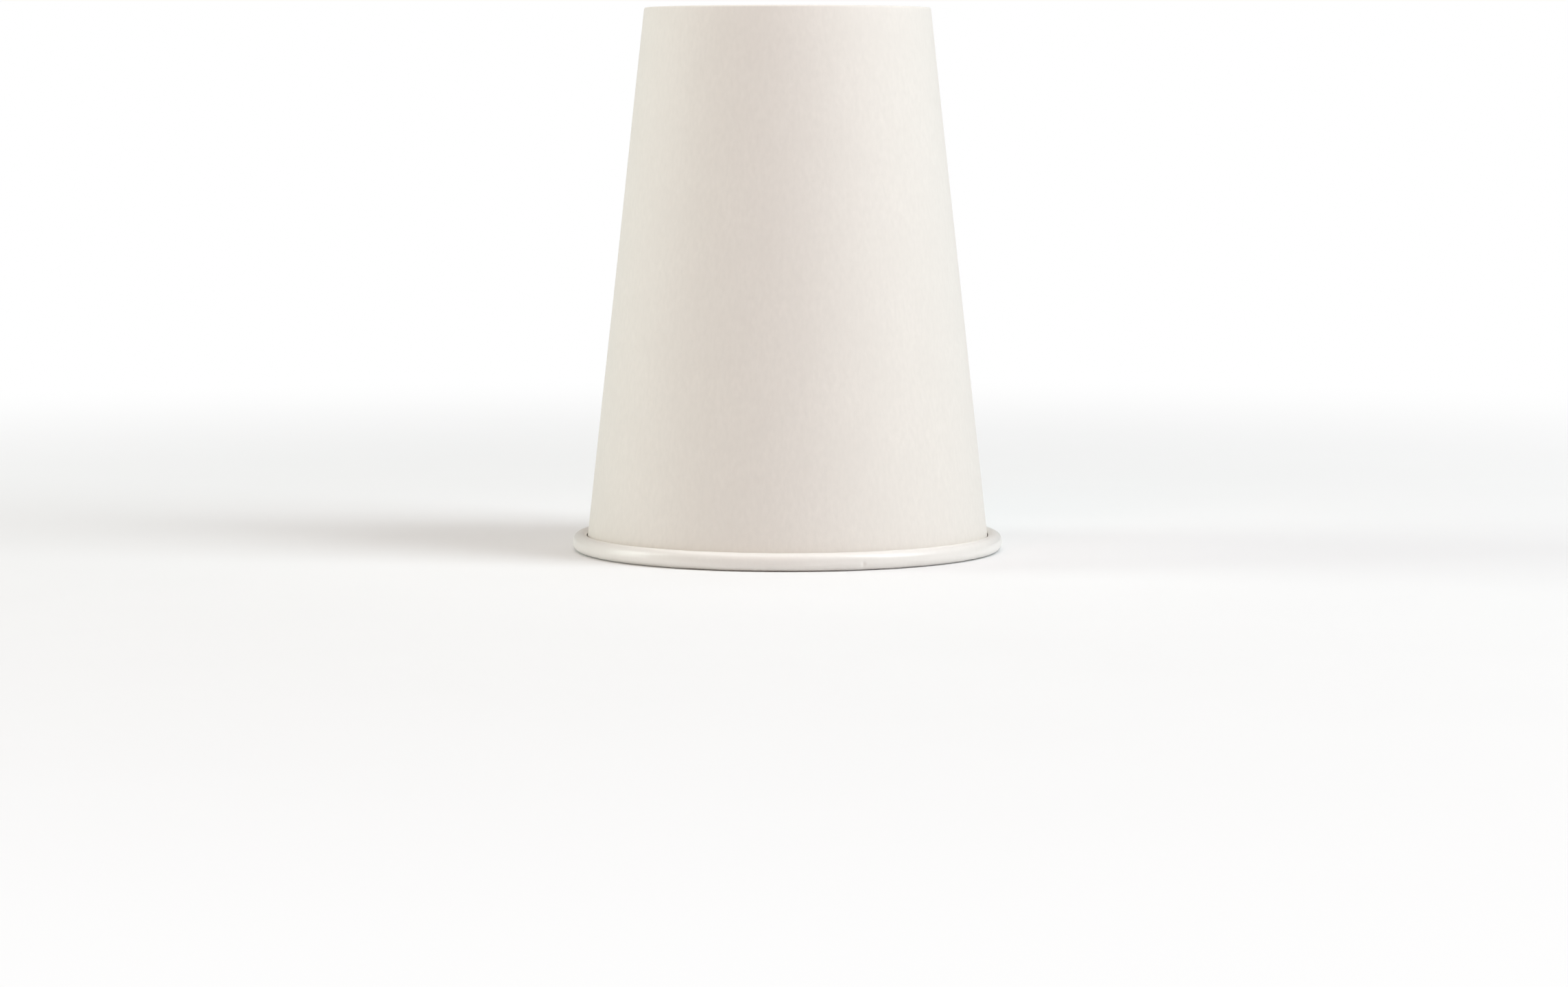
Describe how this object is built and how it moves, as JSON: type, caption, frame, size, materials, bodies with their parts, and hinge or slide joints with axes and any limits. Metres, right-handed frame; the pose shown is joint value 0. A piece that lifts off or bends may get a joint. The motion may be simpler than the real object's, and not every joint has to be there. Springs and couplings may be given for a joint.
{
  "type": "disposable paper cup",
  "caption": "Tapered paper cup standing mouth down, with a rolled rim, a lapped side seam, and a recessed base sealed into a hemmed foot. It holds a drink and nests in a stack.",
  "frame": {"origin": "centre of the rolled rim's lowest circle, on the surface that the cup stands on, mouth down", "axes": "+Z along the cup's axis from the mouth to the foot, +Y to the side seam, -Y to the viewer"},
  "size_m": [0.09, 0.09, 0.113],
  "materials": {
    "wall_board": "warm white coated board, satin",
    "base_board": "warm white coated board, satin"
  },
  "bodies": {
    "root": {"side_wall": "wall_board", "base_disc": "base_board"}
  },
  "joints": []
}
